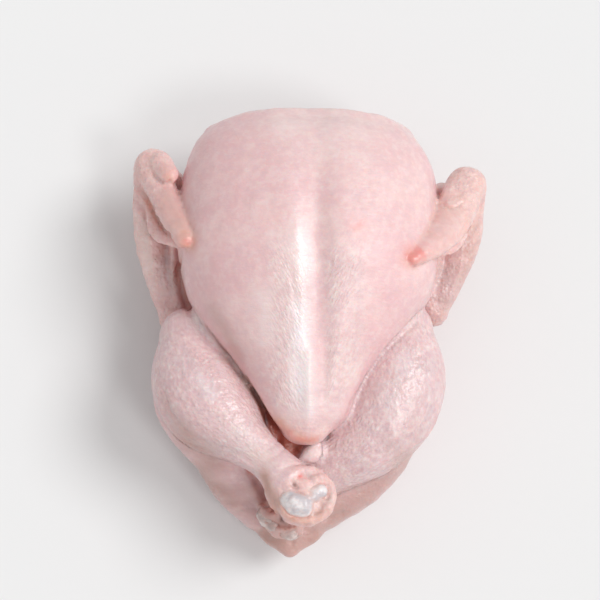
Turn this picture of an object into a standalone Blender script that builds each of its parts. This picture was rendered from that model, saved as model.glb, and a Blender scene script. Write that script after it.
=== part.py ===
"""Raw whole chicken on its back: breast up, wings folded at its sides, legs crossed over the open vent.

+Y points to the neck end, +X to the right of a cook who stands at the tail, and +Z up from the table.
Left and right are the cook's. Places and girths are in millimetres of a bird that is REFERENCE_LENGTH long.
MM turns them into Blender's metres, for a bird that is LENGTH long. Every form is a loft, a skin over rings.
The forms are fused into one skin, and the ends of the leg bones sit in sockets in it.
"""

import math

import bmesh
import bpy
import numpy as np
from mathutils import Matrix, Vector

LENGTH = 250.0
REFERENCE_LENGTH = 250.0
MM = 0.001 * LENGTH / REFERENCE_LENGTH

# How finely the forms are fused, and how much each fusing softens the creases between them.
VOXEL = 2.0
TRUNK_SOFTENING = 12
LEG_SOFTENING = 8
BODY_SOFTENING = 2
WING_SOFTENING = 2
CARCASS_TRIANGLES = 8600
HOCK_VOXEL = 0.9
HOCK_TRIANGLES = 420
SEAT_GAP = 0.45

# Trunk rings: y, centre x, half width, lowest z, z of the widest place, highest z. A ring of power 2 is an
# ellipse, and a higher power makes it squarer. Caps are the lengths of the round ends, the front one first.
TORSO = (
    (112, 2, 42, 14, 46, 82),
    (95, 2, 55, 3, 46, 95),
    (60, 0, 61, -3, 46, 100),
    (20, 0, 61, -4, 44, 95),
    (-20, 0, 62, -4, 42, 82),
    (-55, -1, 64, -3, 36, 64),
    (-78, -4, 56, 0, 32, 52),
    (-96, -7, 39, 8, 29, 42),
    (-104, -9, 27, 14, 28, 38),
)
BREAST = (
    (118, 0, 60, 40, 64, 92),
    (108, 0, 65, 35, 67, 103),
    (91, 1, 70.5, 30, 68, 112),
    (68, 0.5, 72.5, 28, 67, 117),
    (42, 0.5, 73, 28, 67, 118),
    (20, 1, 68.5, 30, 66, 115.5),
    (-2, -1.5, 55, 34, 66, 110),
    (-22, -2, 38.5, 42, 67, 103),
    (-38, -1.5, 29, 50, 69, 96),
    (-51, -0.5, 22, 58, 72, 89),
    (-60, -1, 12, 65, 75, 84),
)
TORSO_POWER = 2.3
BREAST_POWER = 2.15
TRUNK_CAPS = (10, 6)
# How far the sides of the neck end lie behind its middle, and how far back that bend reaches.
FRONT_BEND = 4.5
FRONT_REACH = 30
# The valley between the breast muscles: y, x, depth, half width.
BREAST_VALLEY = (
    (118, 2, 3.0, 14),
    (105, 3, 1.5, 13),
    (80, 4, 2.5, 10),
    (50, 5, 5.0, 7),
    (10, 6, 5.0, 6),
    (-20, 6, 2.5, 6),
    (-50, 5, 0, 6),
)
# The hollow of the body, from the vent inwards: y, x, z, half width, half height.
CAVITY = (
    (-104, -6, 52, 24, 14),
    (-80, -5, 52, 27, 18),
    (-45, -2, 51, 31, 21),
    (0, 0, 54, 34, 26),
    (45, 0, 58, 28, 22),
)
CAVITY_POWER = 2.0
CAVITY_CAPS = (18, 4)

# Routes of the limbs from joint to joint: x, y, z.
HIP = {"left": (-40, -60, 34), "right": (34, -58, 34)}
THIGH_BULGE = {"left": -6, "right": 1}
KNEE = {"left": (-66.5, -2, 56), "right": (54, 2, 56)}
SHANK = {
    "left": ((-60.5, -31, 62), (-40, -56.5, 69), (-17, -78.5, 76), (-4, -94, 80)),
    "right": ((51.5, -31, 58), (34, -60, 57), (8, -75.5, 51), (-13, -102, 47)),
}
SHOULDER = {"left": (-56, 84, 48), "right": (56, 84, 48)}
ELBOW = {"left": (-76.5, 14, 34), "right": (72.5, 18, 34)}
# How far out the forearm bows, and how far from the shoulder the web of skin inside the bend starts.
FOREARM_BOW = 8
WEB_START = 0.6
WRIST = {"left": (-87.5, 95, 62), "right": (90.5, 84, 63)}
HAND_ROUTE = {
    "left": ((-87, 93, 65), (-81, 76, 75), (-75, 61, 84), (-67.5, 45.5, 92)),
    "right": ((89, 82, 66), (82.5, 64, 76), (72.5, 47, 88), (57.5, 32, 100)),
}
HAND_WEB_ROUTE = {
    "left": ((-87, 70, 66), (-82, 57, 69), (-74, 50, 73)),
    "right": ((87, 62, 68), (80, 49, 76), (70, 41, 85)),
}
THUMB_ROUTE = {"left": ((-83, 95, 72), (-77.5, 86, 79)), "right": ((86, 83, 69), (81.5, 75, 74.5))}
TAIL_ROUTE = {
    "left": ((-19, -94, 29), (-18, -110, 27)),
    "right": ((-1, -94, 29), (0, -109, 27)),
    "point": ((-10, -100, 28), (-9.8, -116.5, 27)),
}
NECK_SKIN_ROUTE = ((-32, 106, 36), (2, 117, 40), (36, 105, 36))

# Girths along a limb: share of its length, half width, half thickness.
THIGH = ((0, 26, 26), (0.5, 29, 27), (1, 17, 18))
DRUMSTICK = {
    "left": (
        (0, 17, 18),
        (0.12, 22.5, 22),
        (0.28, 26, 25),
        (0.4, 25, 24),
        (0.53, 19.5, 20),
        (0.65, 14, 15.5),
        (0.77, 11.2, 12),
        (0.87, 12.5, 12),
        (0.94, 15, 12),
        (1, 15, 10.5),
    ),
    "right": (
        (0, 17, 18),
        (0.12, 22.5, 22),
        (0.28, 26, 25),
        (0.4, 25, 24),
        (0.53, 21, 20),
        (0.65, 18, 17),
        (0.78, 15.5, 14),
        (0.9, 13, 12),
        (1, 12.5, 11.5),
    ),
}
UPPER_ARM = ((0, 14, 14), (0.5, 12, 13), (1, 9, 10))
FOREARM = ((0, 8.5, 9), (0.5, 9, 8.5), (0.85, 10.5, 9), (1, 11.5, 10))
ARM_WEB = ((0, 4, 10), (0.5, 4, 15), (1, 4, 7))
HAND = {
    "left": ((0, 10.5, 8.5), (0.35, 8.5, 6.5), (0.7, 7.2, 5.5), (1, 5.4, 4.6)),
    "right": ((0, 11.5, 9), (0.35, 11, 7), (0.65, 9, 5.5), (1, 3.6, 3.4)),
}
HAND_WEB = ((0, 4.5, 3), (0.5, 7, 2.6), (1, 4.5, 2.4))
THUMB = ((0, 7, 5), (1, 6, 4.4))
TAIL_LOBE = ((0, 14, 11), (0.6, 12.5, 9), (1, 9.5, 5.5))
TAIL_POINT = ((0, 14, 9), (0.6, 13, 6.5), (1, 7, 4))
NECK_SKIN = ((0, 5, 9), (0.5, 7, 15), (1, 5, 9))
# The pulley-shaped end of the leg bone, across the leg, and the stub that it sits on.
HOCK_SOFTENING = 3
PULLEY = ((0, 6.6, 6.2), (0.45, 4.8, 4.6), (0.7, 4.8, 4.4), (1, 5.4, 4.6))
STUB = ((0, 6, 5.5), (1, 6.5, 6))
PULLEY_ROUTE = {
    "left": ((-7.5, -99.5, 85.5), (5.5, -93.5, 86)),
    "right": ((-22, -102, 50), (-10.5, -109.5, 48.5)),
}
STUB_ROUTE = {
    "left": ((-6, -91, 78), (-1, -97, 83)),
    "right": ((-8, -96, 47), (-15, -105, 48)),
}


def through(knots, values, at):
    """A smooth curve through values at knots, with its neighbours' slope at each, read at the places in at."""
    knots, values = np.asarray(knots, float), np.asarray(values, float)
    if knots[0] > knots[-1]:
        knots, values = knots[::-1], values[::-1]
    slopes = np.gradient(values, knots, axis=0)
    at = np.clip(at, knots[0], knots[-1])
    i = np.clip(np.searchsorted(knots, at) - 1, 0, len(knots) - 2)
    step = knots[i + 1] - knots[i]
    t = (at - knots[i]) / step
    if values.ndim > 1:
        t, step = t[:, None], step[:, None]
    return (
        (2 * t**3 - 3 * t**2 + 1) * values[i]
        + (t**3 - 2 * t**2 + t) * step * slopes[i]
        + (3 * t**2 - 2 * t**3) * values[i + 1]
        + (t**3 - t**2) * step * slopes[i + 1]
    )


def rings_to_mesh(name, rings):
    """A closed skin over rings of points, each ring turning the same way, with a fan at both ends."""
    bm = bmesh.new()
    loops = [[bm.verts.new(Vector(p) * MM) for p in ring] for ring in rings]
    for low, high in zip(loops, loops[1:]):
        for i in range(len(low)):
            j = (i + 1) % len(low)
            bm.faces.new((low[i], low[j], high[j], high[i]))
    for loop in (loops[0], loops[-1]):
        bm.faces.new(loop)
    bmesh.ops.recalc_face_normals(bm, faces=bm.faces)
    mesh = bpy.data.meshes.new(name)
    bm.to_mesh(mesh)
    bm.free()
    return mesh


def along_with_caps(length, cap_start, cap_end, count):
    """Places along a form with round ends, and how much of its full girth each place has."""
    turn = np.linspace(0.08, math.pi / 2, 7)
    start = [(-cap_start * math.cos(a), math.sin(a)) for a in turn]
    end = [(length + cap_end * math.cos(a), math.sin(a)) for a in turn[::-1]]
    middle = [(s, 1.0) for s in np.linspace(0, length, count)[1:-1]]
    return np.array(start + middle + end).T


def trunk_form(name, stations, caps, power, valley=None, around=64):
    """A form along Y, its rings rounder or squarer by power, with the valley of the breast if it is given."""
    table = np.array(stations, float)
    front, back = table[0, 0], table[-1, 0]
    places, girth = along_with_caps(front - back, caps[0], caps[1], 40)
    y = front - places
    centre, half, low, wide, high = through(table[:, 0], table[:, 1:], y).T
    angles = np.linspace(0, 2 * math.pi, around, endpoint=False)
    side, rise = np.cos(angles), np.sin(angles)
    side = np.sign(side) * np.abs(side) ** (2 / power)
    rise = np.sign(rise) * np.abs(rise) ** (2 / power)
    rings = []
    for k in range(len(y)):
        x = centre[k] + half[k] * girth[k] * side
        reach = np.where(rise > 0, high[k] - wide[k], wide[k] - low[k])
        z = wide[k] + reach * girth[k] * rise
        if valley is not None:
            z -= valley_depth(valley, x, y[k]) * np.clip(rise, 0, 1)
        bend = FRONT_BEND * np.clip(1 - (front - y[k]) / FRONT_REACH, 0, 1)
        rings.append(np.stack([x, y[k] - bend * (girth[k] * side) ** 2, z], 1))
    return rings_to_mesh(name, rings)


def valley_depth(valley, x, y):
    """How deep the valley between the breast muscles is at x on the ring at y."""
    table = np.array(valley, float)
    middle, depth, half = through(table[:, 0], table[:, 1:], np.array([y]))[0]
    return max(depth, 0) * np.exp(-(((x - middle) / half) ** 2))


def limb_form(name, route, girths, grow=0, around=28):
    """A limb with round ends on a smooth curve through route. grow makes it thicker all round."""
    route, table = np.array(route, float), np.array(girths, float)
    table[:, 1:] += grow
    steps = np.diff(route, axis=0)
    lengths = np.linalg.norm(steps, axis=1)
    length = float(lengths.sum())
    knots = np.concatenate([[0], np.cumsum(lengths)])
    places, girth = along_with_caps(length, table[0, 1], table[-1, 1], 24)
    wide, thick = through(table[:, 0], table[:, 1:], places / length).T
    centre = through(knots, route, places)
    centre += np.outer(np.minimum(places, 0), steps[0] / lengths[0])
    centre += np.outer(np.maximum(places - length, 0), steps[-1] / lengths[-1])
    forward = np.gradient(centre, axis=0)
    forward /= np.linalg.norm(forward, axis=1)[:, None]
    across = np.cross(forward, (0, 0, 1))
    across /= np.linalg.norm(across, axis=1)[:, None]
    over = np.cross(across, forward)
    angles = np.linspace(0, 2 * math.pi, around, endpoint=False)
    rings = [
        centre[k]
        + np.outer(np.cos(angles) * wide[k] * girth[k], across[k])
        + np.outer(np.sin(angles) * thick[k] * girth[k], over[k])
        for k in range(len(places))
    ]
    return rings_to_mesh(name, rings)


def leg_forms(side):
    """Thigh and drumstick, folded on each other at the knee."""
    hip, knee = HIP[side], KNEE[side]
    thigh_middle = moved(between(hip, knee, 0.5), x=THIGH_BULGE[side])
    return [
        limb_form("thigh", (hip, thigh_middle, knee), THIGH),
        limb_form("drumstick", (knee, *SHANK[side]), DRUMSTICK[side]),
    ]


def wing_forms(side, sign):
    """The folded wing: upper arm, forearm, hand and thumb, with the skin that spans the bends."""
    shoulder, elbow, wrist = SHOULDER[side], ELBOW[side], WRIST[side]
    forearm_middle = moved(between(elbow, wrist, 0.5), x=sign * FOREARM_BOW, y=4, z=1.5)
    web_start, web_end = between(shoulder, wrist, WEB_START), moved(elbow, y=6)
    return [
        limb_form("upper_arm", (shoulder, elbow), UPPER_ARM),
        limb_form("forearm", (elbow, forearm_middle, wrist), FOREARM),
        limb_form("arm_web", (web_start, web_end), ARM_WEB),
        limb_form("hand", HAND_ROUTE[side], HAND[side]),
        limb_form("hand_web", HAND_WEB_ROUTE[side], HAND_WEB),
        limb_form("thumb", THUMB_ROUTE[side], THUMB),
    ]


def tail_forms():
    """The fatty tail: two lobes that meet in a point."""
    return [
        limb_form("tail_left", TAIL_ROUTE["left"], TAIL_LOBE),
        limb_form("tail_right", TAIL_ROUTE["right"], TAIL_LOBE),
        limb_form("tail_point", TAIL_ROUTE["point"], TAIL_POINT),
    ]


def neck_skin_form():
    """The flap of neck skin, folded down over the neck end."""
    return limb_form("neck_skin", NECK_SKIN_ROUTE, NECK_SKIN)


def between(a, b, share):
    return tuple(np.array(a, float) * (1 - share) + np.array(b, float) * share)


def moved(point, x=0, y=0, z=0):
    return (point[0] + x, point[1] + y, point[2] + z)


def object_of(name, mesh):
    obj = bpy.data.objects.new(name, mesh)
    bpy.context.scene.collection.objects.link(obj)
    return obj


def evaluated_mesh(obj):
    """The object's mesh with its modifiers applied. The object itself is removed."""
    graph = bpy.context.evaluated_depsgraph_get()
    mesh = bpy.data.meshes.new_from_object(obj.evaluated_get(graph))
    bpy.data.objects.remove(obj)
    return mesh


def fuse(name, meshes, softening, voxel=VOXEL):
    """One skin round all the meshes, its creases softened."""
    bm = bmesh.new()
    for mesh in meshes:
        bm.from_mesh(mesh)
    joined = bpy.data.meshes.new(name)
    bm.to_mesh(joined)
    bm.free()
    obj = object_of(name, joined)
    remesh = obj.modifiers.new("fuse", "REMESH")
    remesh.mode = "VOXEL"
    remesh.voxel_size = voxel * MM
    smooth = obj.modifiers.new("soften", "SMOOTH")
    smooth.iterations = softening
    return evaluated_mesh(obj)


def cut(mesh, cutter_mesh):
    obj, cutter = object_of("cut", mesh), object_of("cutter", cutter_mesh)
    cutter.hide_render = True
    cutter.display_type = "WIRE"
    boolean = obj.modifiers.new("cut", "BOOLEAN")
    boolean.operation = "DIFFERENCE"
    boolean.object = cutter
    result = evaluated_mesh(obj)
    bpy.data.objects.remove(cutter)
    return result


def flatten_base(mesh):
    """The back, pressed flat on the table at z = 0."""
    bm = bmesh.new()
    bm.from_mesh(mesh)
    everything = bm.verts[:] + bm.edges[:] + bm.faces[:]
    bmesh.ops.bisect_plane(bm, geom=everything, plane_co=(0, 0, 0), plane_no=(0, 0, 1), clear_inner=True)
    rim = [edge for edge in bm.edges if edge.is_boundary]
    bmesh.ops.contextual_create(bm, geom=rim)
    bmesh.ops.recalc_face_normals(bm, faces=bm.faces)
    bm.to_mesh(mesh)
    bm.free()
    return mesh


def thinned(mesh, triangles):
    obj = object_of("thin", mesh)
    mesh.calc_loop_triangles()
    decimate = obj.modifiers.new("thin", "DECIMATE")
    decimate.ratio = triangles / len(mesh.loop_triangles)
    decimate.use_collapse_triangulate = True
    return evaluated_mesh(obj)


def material(name, colour, roughness):
    made = bpy.data.materials.new(name)
    made.use_nodes = True
    shader = made.node_tree.nodes["Principled BSDF"]
    shader.inputs["Base Color"].default_value = (*colour, 1)
    shader.inputs["Roughness"].default_value = roughness
    shader.inputs["Metallic"].default_value = 0
    return made


def cavity_form():
    table = np.array(CAVITY, float)
    rings = [(y, x, half, z - tall, z, z + tall) for y, x, z, half, tall in table[::-1]]
    return trunk_form("cavity", rings, CAVITY_CAPS, CAVITY_POWER, around=40)


def trunk_mesh():
    forms = [
        trunk_form("torso", TORSO, TRUNK_CAPS, TORSO_POWER),
        trunk_form("breast", BREAST, TRUNK_CAPS, BREAST_POWER, BREAST_VALLEY),
        neck_skin_form(),
    ]
    return cut(fuse("trunk", forms, TRUNK_SOFTENING), cavity_form())


def carcass_mesh():
    legs = [fuse("leg", leg_forms(side), LEG_SOFTENING) for side in ("left", "right")]
    with_legs = fuse("with_legs", [trunk_mesh(), *tail_forms(), *legs], BODY_SOFTENING)
    wings = wing_forms("left", -1) + wing_forms("right", 1)
    whole = fuse("whole", [with_legs, *wings], WING_SOFTENING)
    return flatten_base(thinned(whole, CARCASS_TRIANGLES))


def hock_mesh(side, grow=0):
    """The end of the leg bone. grow makes the socket that it sits in."""
    forms = [
        limb_form("pulley", PULLEY_ROUTE[side], PULLEY, grow=grow),
        limb_form("stub", STUB_ROUTE[side], STUB, grow=grow),
    ]
    return thinned(fuse("hock", forms, HOCK_SOFTENING, HOCK_VOXEL), HOCK_TRIANGLES)


def make_chicken():
    skin = material("skin", (0.85, 0.6, 0.57), 0.35)
    cartilage = material("cartilage", (0.82, 0.77, 0.75), 0.3)
    carcass = carcass_mesh()
    pieces = {}
    for side in ("left", "right"):
        pieces[side + "_hock"] = hock_mesh(side)
        carcass = cut(carcass, hock_mesh(side, SEAT_GAP))
    pieces["carcass"] = carcass
    places = np.array([vertex.co[:] for vertex in carcass.vertices])
    middle = (places.min(axis=0) + places.max(axis=0)) / 2
    to_origin = Matrix.Translation((-middle[0], -middle[1], 0))
    for name, mesh in pieces.items():
        mesh.transform(to_origin)
        mesh.shade_smooth()
        mesh.materials.clear()
        mesh.materials.append(skin if name == "carcass" else cartilage)
        object_of(name, mesh)


for old in list(bpy.data.objects):
    bpy.data.objects.remove(old)
make_chicken()
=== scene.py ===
"""The looks of a raw whole chicken on its back: moist skin with its feather pits, gristle at the leg ends,
and the dark flesh of the open vent, on a pale floor in soft light.

Forms are in millimetres, +Y is the neck end, and +Z is up. The finished bird is moved so that the middle of
its box is the origin in X and Y, as in the solids. Marks on the skin are placed by where they show in the
photograph, in its pixels, and are cast from the camera on to the skin itself.
"""

import math
from types import SimpleNamespace

import bmesh
import bpy
import numpy as np
from mathutils import Matrix, Vector
from mathutils.bvhtree import BVHTree


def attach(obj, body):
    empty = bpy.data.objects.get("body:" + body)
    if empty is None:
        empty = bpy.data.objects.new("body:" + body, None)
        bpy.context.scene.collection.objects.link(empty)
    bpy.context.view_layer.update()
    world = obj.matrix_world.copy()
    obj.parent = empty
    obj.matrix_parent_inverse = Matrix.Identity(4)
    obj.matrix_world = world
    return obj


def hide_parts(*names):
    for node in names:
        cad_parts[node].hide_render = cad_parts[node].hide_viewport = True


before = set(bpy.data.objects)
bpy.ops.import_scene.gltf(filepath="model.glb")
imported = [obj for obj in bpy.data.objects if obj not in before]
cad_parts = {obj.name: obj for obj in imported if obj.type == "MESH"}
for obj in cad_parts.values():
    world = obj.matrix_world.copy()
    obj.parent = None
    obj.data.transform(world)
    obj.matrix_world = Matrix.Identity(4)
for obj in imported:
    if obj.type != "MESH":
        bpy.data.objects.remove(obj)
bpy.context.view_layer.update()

MM = 0.001

# The photograph: its size in pixels, and the camera that took it.
PHOTO_SIDE = 600
CAMERA_ELEVATION = math.radians(78)
CAMERA_TARGET = (-0.0004, -0.0010, 0.06)
CAMERA_DISTANCE = 1.0
CAMERA_LENS = 107
CAMERA_SENSOR = 36
CAMERA_SHIFT = (-0.01417, 0.0492)

# How finely the skin is made, and how much each fusing softens the creases between its forms.
SKIN_VOXEL = 1.15
SKIN_TRIANGLES = 196000
TRUNK_SOFTENING = 36
LEG_SOFTENING = 24
TAIL_SOFTENING = 20
BODY_SOFTENING = 6
WING_SOFTENING = 2
GRISTLE_VOXEL = 0.5
GRISTLE_SOFTENING = 12
# How far a point is looked for from a form's surface, and the x of the keel.
REACH = 6.0
KEEL_X = 5
# How far apart the feather pits are where they follow no rows, and a drumstick's usual half width.
PIT_SPACING = 3.4
LEG_GIRTH = 20

SIDES = ("left", "right")
FLOOR_SIDE = 6
ROOM_LIGHT = 0.56
# Lamps: name, direction in metres, how wide each looks in degrees, and power.
LIGHTS = (("window", (1.6, 0.35, 2.1), 26, 1.5), ("side_window", (1.1, -1.1, 2.0), 14, 0.5))

# Trunk rings: y, centre x, half width, lowest z, z of the widest place, highest z.
TORSO = (
    (112, 2, 42, 14, 46, 82),
    (95, 2, 55, 3, 46, 95),
    (60, 0, 61, -3, 46, 100),
    (20, 0, 61, -4, 44, 95),
    (-20, 0, 62, -4, 42, 82),
    (-55, -1, 64, -3, 36, 64),
    (-78, -4, 56, 0, 32, 52),
    (-96, -7, 39, 8, 29, 42),
    (-104, -9, 27, 14, 28, 38),
)
BREAST = (
    (118, 0, 60, 40, 64, 92),
    (108, 0, 65, 35, 67, 103),
    (91, 1, 70.5, 30, 68, 112),
    (68, 0.5, 72.5, 28, 67, 117),
    (42, 0.5, 73, 28, 67, 118),
    (20, 1, 68.5, 30, 66, 115.5),
    (-2, -1.5, 55, 34, 66, 110),
    (-22, -2, 38.5, 42, 67, 103),
    (-38, -1.5, 29, 50, 69, 96),
    (-51, -0.5, 22, 58, 72, 89),
    (-60, -1, 12, 65, 75, 84),
)
TORSO_POWER = 2.3
BREAST_POWER = 2.15
TRUNK_CAPS = (10, 6)
FRONT_BEND = 4.5
FRONT_REACH = 30
# The valley between the breast muscles: y, x, depth, half width.
BREAST_VALLEY = (
    (118, 2, 3.0, 14),
    (105, 3, 1.5, 13),
    (80, 4, 2.5, 10),
    (50, 5, 5.0, 7),
    (10, 6, 5.0, 6),
    (-20, 6, 2.5, 6),
    (-50, 5, 0, 6),
)
# The hollow of the body, from the vent inwards: y, x, z, half width, half height.
HOLLOW = (
    (-104, -6, 52, 24, 14),
    (-80, -5, 52, 27, 18),
    (-45, -2, 51, 31, 21),
    (0, 0, 54, 34, 26),
    (45, 0, 58, 28, 22),
)

# Routes of the limbs from joint to joint: x, y, z.
HIP = {"left": (-40, -60, 34), "right": (34, -58, 34)}
THIGH_BULGE = {"left": -6, "right": 1}
KNEE = {"left": (-66.5, -2, 56), "right": (54, 2, 56)}
SHANK = {
    "left": ((-60.5, -31, 62), (-40, -56.5, 69), (-17, -78.5, 76), (-4, -94, 80)),
    "right": ((51.5, -31, 58), (34, -60, 57), (8, -75.5, 51), (-13, -102, 47)),
}
SHOULDER = {"left": (-56, 84, 48), "right": (56, 84, 48)}
ELBOW = {"left": (-76.5, 14, 34), "right": (72.5, 18, 34)}
FOREARM_BOW = 8
WEB_START = 0.6
WRIST = {"left": (-87.5, 95, 62), "right": (90.5, 84, 63)}
HAND_ROUTE = {
    "left": ((-87, 93, 65), (-81, 76, 75), (-75, 61, 84), (-67.5, 45.5, 92)),
    "right": ((89, 82, 66), (82.5, 64, 76), (72.5, 47, 88), (57.5, 32, 100)),
}
HAND_WEB_ROUTE = {
    "left": ((-87, 70, 66), (-82, 57, 69), (-74, 50, 73)),
    "right": ((87, 62, 68), (80, 49, 76), (70, 41, 85)),
}
THUMB_ROUTE = {"left": ((-83, 95, 72), (-77.5, 86, 79)), "right": ((86, 83, 69), (81.5, 75, 74.5))}
NECK_SKIN_ROUTE = ((-32, 106, 36), (2, 117, 40), (36, 105, 36))

# Girths along a limb: share of its length, half width, half thickness.
THIGH = ((0, 26, 26), (0.5, 29, 27), (1, 17, 18))
DRUMSTICK = {
    "left": (
        (0, 17, 18), (0.12, 22.5, 22), (0.28, 26, 25), (0.4, 25, 24), (0.53, 19.5, 20),
        (0.65, 14, 15.5), (0.77, 11.2, 12), (0.87, 12.5, 12), (0.94, 15, 12), (1, 15, 10.5),
    ),
    "right": (
        (0, 17, 18), (0.12, 22.5, 22), (0.28, 26, 25), (0.4, 25, 24), (0.53, 21, 20),
        (0.65, 18, 17), (0.78, 15.5, 14), (0.9, 13, 12), (1, 12.5, 11.5),
    ),
}
UPPER_ARM = ((0, 14, 14), (0.5, 12, 13), (1, 9, 10))
FOREARM = ((0, 8.5, 9), (0.5, 9, 8.5), (0.85, 10.5, 9), (1, 11.5, 10))
ARM_WEB = ((0, 4, 10), (0.5, 4, 15), (1, 4, 7))
HAND = {
    "left": ((0, 10.5, 8.5), (0.35, 8.5, 6.5), (0.7, 7.2, 5.5), (1, 5.4, 4.6)),
    "right": ((0, 11.5, 9), (0.35, 11, 7), (0.65, 9, 5.5), (1, 3.6, 3.4)),
}
HAND_WEB = ((0, 4.5, 3), (0.5, 7, 2.6), (1, 4.5, 2.4))
THUMB = ((0, 7, 5), (1, 6, 4.4))
TAIL_LOBE = ((0, 14, 11), (0.6, 12, 9), (1, 8.5, 6))
TAIL_POINT = ((0, 19, 9), (0.7, 15, 8), (1, 5.5, 5))
TAIL_EDGE = ((0, 7.5, 6.5), (0.5, 7, 5.5), (1, 4, 5))
# The fatty tail: two lobes that meet in a point, and its straight edges.
TAIL = (
    ("tail_left", ((-21, -94, 29), (-21, -106, 27)), TAIL_LOBE),
    ("tail_right", ((0, -94, 29), (3, -105, 27)), TAIL_LOBE),
    ("tail_point", ((-10, -96, 28), (-9.8, -118, 27)), TAIL_POINT),
    ("tail_left_edge", ((-23, -105, 27), (-12.5, -117.5, 27)), TAIL_EDGE),
    ("tail_right_edge", ((4.5, -104.5, 27), (-7, -117, 27)), TAIL_EDGE),
)
NECK_SKIN = ((0, 5, 9), (0.5, 7, 15), (1, 5, 9))
# Tubes of one girth: name, route, girth. The edge of skin rolled back round the end of each leg comes first.
LEG_END_SKIN = (
    (
        "left_roll",
        ((-20, -92, 79), (-17, -99.5, 81), (-12, -104.5, 82.5), (-5, -107.8, 83), (2, -108, 83)),
        3.0,
    ),
    ("left_rim", ((-14, -100, 86), (-11, -105, 86), (-5, -108.5, 86)), 2.0),
    ("left_curl", ((2, -107.5, 84), (8, -104.5, 85), (11.3, -100.5, 86)), 3.0),
    ("left_edge", ((11, -102, 85), (13, -96, 83), (12, -88, 81)), 2.6),
    ("left_fold", ((-10, -85, 83), (-3, -81.5, 84), (5, -82, 83), (10, -88, 82)), 3.2),
    ("left_tendon", ((-7, -92, 86.5), (0, -88, 87), (6, -86, 85)), 3.4),
    ("left_shred", ((1, -102.5, 86), (5, -103, 86), (8, -99, 86)), 2.4),
    ("left_lip", ((-14, -94.5, 87), (-9, -91.3, 89), (-3.6, -92.4, 89.5), (-0.3, -94.6, 89.5)), 2.0),
    ("left_seam", ((-12.8, -100.5, 87.5), (-9.5, -105, 87.5), (-4, -108, 87), (1.5, -107.5, 87)), 1.8),
    ("right_roll", ((-25, -97, 50), (-22, -105, 50), (-14, -111.5, 49), (-5, -111, 48)), 2.6),
    ("right_tendon", ((-19, -98, 56), (-14, -103, 57), (-9, -104, 56)), 2.6),
    ("right_shred", ((-18, -106, 54), (-12, -107.5, 55), (-5, -108.5, 52)), 2.4),
    ("right_strip", ((-24, -99, 54), (-19, -102.5, 55.5)), 2.0),
    ("right_thread", ((-25, -104, 53), (-20, -107, 54.5), (-14, -109.5, 53)), 1.6),
    ("right_band", ((-16, -99.5, 57), (-18.5, -104, 57), (-17, -108.5, 54)), 1.6),
    ("right_scrap", ((-24.5, -99.5, 56), (-22, -102.5, 57.5), (-17.5, -102, 58.5)), 1.5),
    ("right_hem", ((-13.5, -108.5, 55), (-9, -107, 56), (-4.5, -104, 56)), 2.0),
)
# The fold of skin inside the right leg, which closes the vent on that side.
INNER_FOLD = (
    "inner_fold",
    ((11.5, -66, 61), (3.5, -69.5, 65), (-3.5, -73.5, 66)),
    ((0, 8, 7), (0.6, 6.5, 5.5), (1, 2.5, 2.5)),
)
# The slit between the breast and the left drumstick, which widens down to the vent.
SLIT = (
    "slit",
    ((-34, -29.5, 79), (-29.3, -36, 77), (-25.3, -42, 75), (-21.5, -49.5, 73), (-17, -58, 71)),
    ((0, 0.8, 4), (0.4, 1.8, 6), (1, 2.8, 8)),
)
# The flesh that shows in the vent.
FLESH = (
    ("flesh_left", ((-21, -70, 50), (-20, -58, 55), (-25, -38, 58)), 6.0),
    ("flesh_middle", ((-11, -78, 49), (-10, -66, 55), (-13, -52, 55)), 6.0),
    ("flesh_right", ((6, -76, 47), (-1, -64, 54), (4, -50, 52)), 6.5),
)
GRISTLE = {
    "left": (
        ("knuckle", ((-9, -96.5, 85), (-6.5, -99, 86.4), (-2.5, -100, 86)), 6.8),
        ("small_knuckle", ((1, -94.6, 86.4), (6, -92.4, 85.8)), 4.6),
        ("bridge", ((-3, -98.5, 86.6), (3, -95, 86.8)), 4.6),
        ("stub", ((-6, -91, 78), (-1, -97, 82)), 6.5),
    ),
    "right": (
        ("knuckle", ((-22.5, -101.5, 51), (-19, -105, 51)), 5.4),
        ("small_knuckle", ((-9.5, -110, 49), (-12, -109, 49)), 5.0),
        ("bridge", ((-20, -102, 49), (-11, -108, 48)), 4.4),
        ("stub", ((-8, -95, 46), (-15, -104, 47)), 6.2),
    ),
}

# The gristle's two colours, how much it is tinged with the meat's colour, how uneven it is, and how far it
# takes the colour of the skin beside it.
GRISTLE_LOOKS = {
    "left": ((0.58, 0.55, 0.58), (0.86, 0.81, 0.81), 0.25, 0.7, 1.0),
    "right": ((0.42, 0.36, 0.35), (0.76, 0.68, 0.65), 0.5, 1.5, 0.4),
}

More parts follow.
